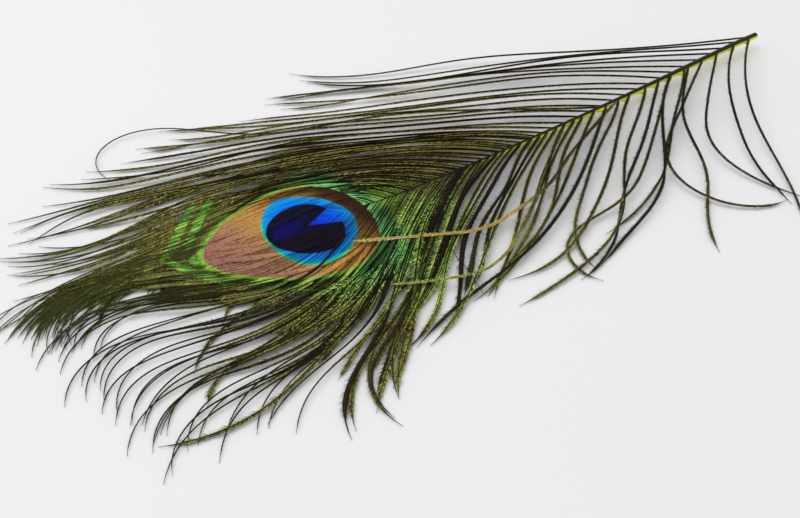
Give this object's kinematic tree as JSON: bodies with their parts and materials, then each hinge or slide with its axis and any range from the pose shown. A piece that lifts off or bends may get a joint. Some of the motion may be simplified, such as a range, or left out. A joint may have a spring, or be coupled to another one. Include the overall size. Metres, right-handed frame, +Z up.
{
  "type": "peacock feather",
  "caption": "Trimmed peacock tail feather lying eye side up: a thin curved shaft, an oval eye of blue, bronze and green, and loose barbs spreading to both sides.",
  "frame": {"origin": "on the surface that the feather rests on, under the middle of its eye", "axes": "+X along the feather to the cut end of the shaft, +Z up and out of the eye's upper side, -Y to the side of the longer, looser barbs"},
  "size_m": [0.2601, 0.152, 0.0056],
  "materials": {
    "feather_barbs": "fine hooked and loose barbs, satin, olive to bright green, with an iridescent blue and bronze eye",
    "feather_shaft": "smooth satin horn, dark olive brown on top and yellow-green at its sides"
  },
  "bodies": {
    "root": {"feather": "feather_barbs"}
  },
  "joints": []
}
